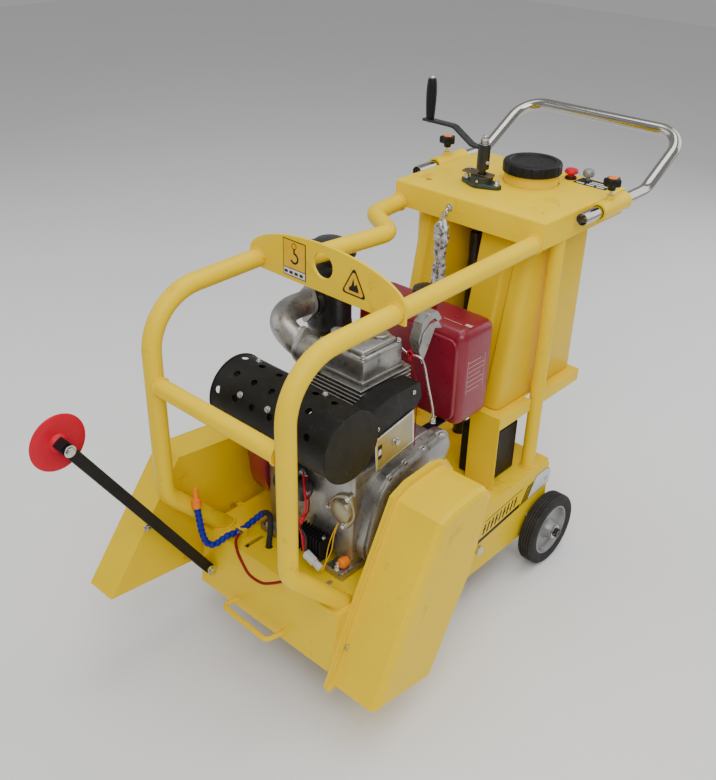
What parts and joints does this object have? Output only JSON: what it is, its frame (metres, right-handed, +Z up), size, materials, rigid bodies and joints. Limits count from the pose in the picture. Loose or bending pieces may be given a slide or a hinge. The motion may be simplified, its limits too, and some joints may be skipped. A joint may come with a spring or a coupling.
{
  "type": "walk-behind concrete saw",
  "caption": "Walk-behind floor saw with tube cage, engine, belt drive, blade guard, water tank, depth crank, guide arm and sliding push handle.",
  "frame": {"origin": "centre of the saw's footprint, on the ground", "axes": "+Z up, +Y from the front of the saw to its operator, +X to the belt side"},
  "size_m": [0.658, 1.6195, 1.2103],
  "materials": {
    "yellow_paint": "gloss",
    "black_paint": "satin",
    "red_paint": "gloss",
    "steel": "satin",
    "chrome": "polished",
    "cast_aluminium": "as cast",
    "cast_iron": "painted",
    "rubber": "matt",
    "tyre": "matt",
    "black_plastic": "matt",
    "yellow_plastic": "satin",
    "orange_plastic": "satin",
    "red_plastic": "gloss",
    "grey_plastic": "satin",
    "blue_plastic": "gloss"
  },
  "bodies": {
    "frame": {"side_plate_left": "yellow_paint", "side_plate_right": "yellow_paint", "chassis_sheet": "yellow_paint", "pull_handle": "yellow_paint", "cage_tube_left": "yellow_paint", "cage_tube_right": "yellow_paint", "rear_upright_left": "yellow_paint", "rear_upright_right": "yellow_paint", "lifting_plate": "yellow_paint", "tank_shelf": "yellow_paint", "console": "yellow_paint", "belt_cover": "yellow_paint", "water_tank": "yellow_plastic", "battery": "black_plastic", "air_cleaner": "black_plastic", "coolant_nozzle": "orange_plastic", "coolant_hose": "blue_plastic", "water_feed_hose": "rubber", "drive_belt_1": "rubber", "drive_belt_2": "rubber", "muffler_shield": "black_paint", "muffler": "black_paint", "screw_bearing": "cast_iron", "swing_pivot_rod": "steel", "front_axle": "steel", "shaft_bearing_left": "steel", "shaft_bearing_right": "steel", "engine_block": "cast_aluminium", "engine_side_case": "cast_aluminium", "engine_cylinder": "cast_aluminium", "cylinder_head": "cast_aluminium", "intake_elbow": "cast_aluminium", "flywheel_shroud": "red_paint", "fuel_tank": "red_paint"},
    "crankshaft_group": {"crankshaft": "steel", "flywheel": "cast_iron", "drive_pulley": "cast_iron"},
    "blade_shaft_group": {"blade_shaft": "steel", "blade_flange_outer": "steel", "driven_pulley": "cast_iron"},
    "guard": {"blade_guard": "yellow_paint"},
    "guide": {"guide_arm": "black_paint"},
    "guide_roller": {"guide_wheel": "red_plastic"},
    "depth_crank": {"lift_screw": "black_paint", "crank_arm": "black_paint"},
    "crank_handle": {"crank_grip": "black_plastic"},
    "lift_column": {"lift_tube": "black_paint"},
    "rear_swing": {"swing_axle": "black_paint"},
    "rear_left": {"rear_wheel_left": "tyre"},
    "rear_right": {"rear_wheel_right": "tyre"},
    "front_left": {"front_wheel_left": "tyre"},
    "front_right": {"front_wheel_right": "tyre"},
    "handle": {"push_handle": "chrome"},
    "knob_left": {"clamp_knob_left": "black_plastic"},
    "knob_right": {"clamp_knob_right": "black_plastic"},
    "tank_lid": {"water_cap": "black_plastic"},
    "fuel_lid": {"fuel_cap": "black_plastic"},
    "oil_lid": {"oil_cap": "orange_plastic"},
    "stop": {"stop_button": "red_plastic"},
    "throttle": {"throttle_knob": "grey_plastic"}
  },
  "joints": [
    {"name": "crankshaft_spin", "type": "hinge", "parent": "frame", "child": "crankshaft_group", "pos_m": [-0.021, -0.1747, 0.45], "axis": [1, 0, 0], "continuous": true},
    {"name": "blade_shaft_spin", "type": "hinge", "parent": "frame", "child": "blade_shaft_group", "pos_m": [-0.021, -0.3447, 0.19], "axis": [1, 0, 0], "continuous": true},
    {"name": "guard_tilt", "type": "hinge", "parent": "frame", "child": "guard", "pos_m": [-0.021, -0.3447, 0.19], "axis": [1, 0, 0], "range_deg": [-10, 10]},
    {"name": "guide_arm_fold", "type": "hinge", "parent": "frame", "child": "guide", "pos_m": [-0.021, -0.4427, 0.21], "axis": [1, 0, 0], "range_deg": [0, 72]},
    {"name": "guide_wheel_spin", "type": "hinge", "parent": "guide", "child": "guide_roller", "pos_m": [-0.021, -0.7497, 0.692], "axis": [1, 0, 0], "continuous": true},
    {"name": "rear_axle_swing", "type": "hinge", "parent": "frame", "child": "rear_swing", "pos_m": [-0.021, 0.0903, 0.17], "axis": [-1, 0, 0], "range_deg": [0, 14.68]},
    {"name": "depth_crank_turn", "type": "hinge", "parent": "frame", "child": "depth_crank", "pos_m": [-0.061, 0.3323, 0.985], "axis": [0, 0, 1], "range_deg": [0, 4320]},
    {"name": "lift_tube_slide", "type": "slide", "parent": "frame", "child": "lift_column", "axis": [0, 0, -1], "range_m": [0, 0.06]},
    {"name": "crank_grip_spin", "type": "hinge", "parent": "depth_crank", "child": "crank_handle", "pos_m": [-0.225, 0.3323, 1.11], "axis": [0, 0, 1], "continuous": true},
    {"name": "rear_wheel_left_spin", "type": "hinge", "parent": "rear_swing", "child": "rear_left", "pos_m": [-0.021, 0.3653, 0.1], "axis": [1, 0, 0], "continuous": true},
    {"name": "rear_wheel_right_spin", "type": "hinge", "parent": "rear_swing", "child": "rear_right", "pos_m": [-0.021, 0.3653, 0.1], "axis": [1, 0, 0], "continuous": true},
    {"name": "front_wheel_left_spin", "type": "hinge", "parent": "frame", "child": "front_left", "pos_m": [-0.021, -0.2297, 0.075], "axis": [1, 0, 0], "continuous": true},
    {"name": "front_wheel_right_spin", "type": "hinge", "parent": "frame", "child": "front_right", "pos_m": [-0.021, -0.2297, 0.075], "axis": [1, 0, 0], "continuous": true},
    {"name": "push_handle_slide", "type": "slide", "parent": "frame", "child": "handle", "axis": [0, 1, 0], "range_m": [-0.05, 0.05]},
    {"name": "clamp_knob_left_turn", "type": "hinge", "parent": "frame", "child": "knob_left", "pos_m": [-0.256, 0.4503, 1.0003], "axis": [0, 0, 1], "range_deg": [0, 720]},
    {"name": "clamp_knob_right_turn", "type": "hinge", "parent": "frame", "child": "knob_right", "pos_m": [0.214, 0.4503, 1.0003], "axis": [0, 0, 1], "range_deg": [0, 720]},
    {"name": "water_cap_turn", "type": "hinge", "parent": "frame", "child": "tank_lid", "pos_m": [0.004, 0.4453, 1.0103], "axis": [0, 0, 1], "range_deg": [0, 360]},
    {"name": "fuel_cap_turn", "type": "hinge", "parent": "frame", "child": "fuel_lid", "pos_m": [-0.009, 0.0803, 0.8003], "axis": [0, 0, 1], "range_deg": [0, 90]},
    {"name": "oil_cap_turn", "type": "hinge", "parent": "frame", "child": "oil_lid", "pos_m": [0.115, -0.305, 0.333], "axis": [0, -1, 0], "range_deg": [0, 720]},
    {"name": "stop_button_press", "type": "slide", "parent": "frame", "child": "stop", "axis": [0, 0, -1], "range_m": [0, 0.004], "stiffness_N_per_m": 500, "springref_m": -0.003},
    {"name": "throttle_pull", "type": "slide", "parent": "frame", "child": "throttle", "axis": [0, 0, 1], "range_m": [0, 0.024]}
  ],
  "couplings": [
    {"joint": "blade_shaft_spin", "follows": "crankshaft_spin", "ratio": 0.75},
    {"joint": "depth_crank_turn", "follows": "rear_axle_swing", "ratio": 294.28},
    {"joint": "lift_tube_slide", "follows": "rear_axle_swing", "m_per_rad": 0.23418}
  ]
}
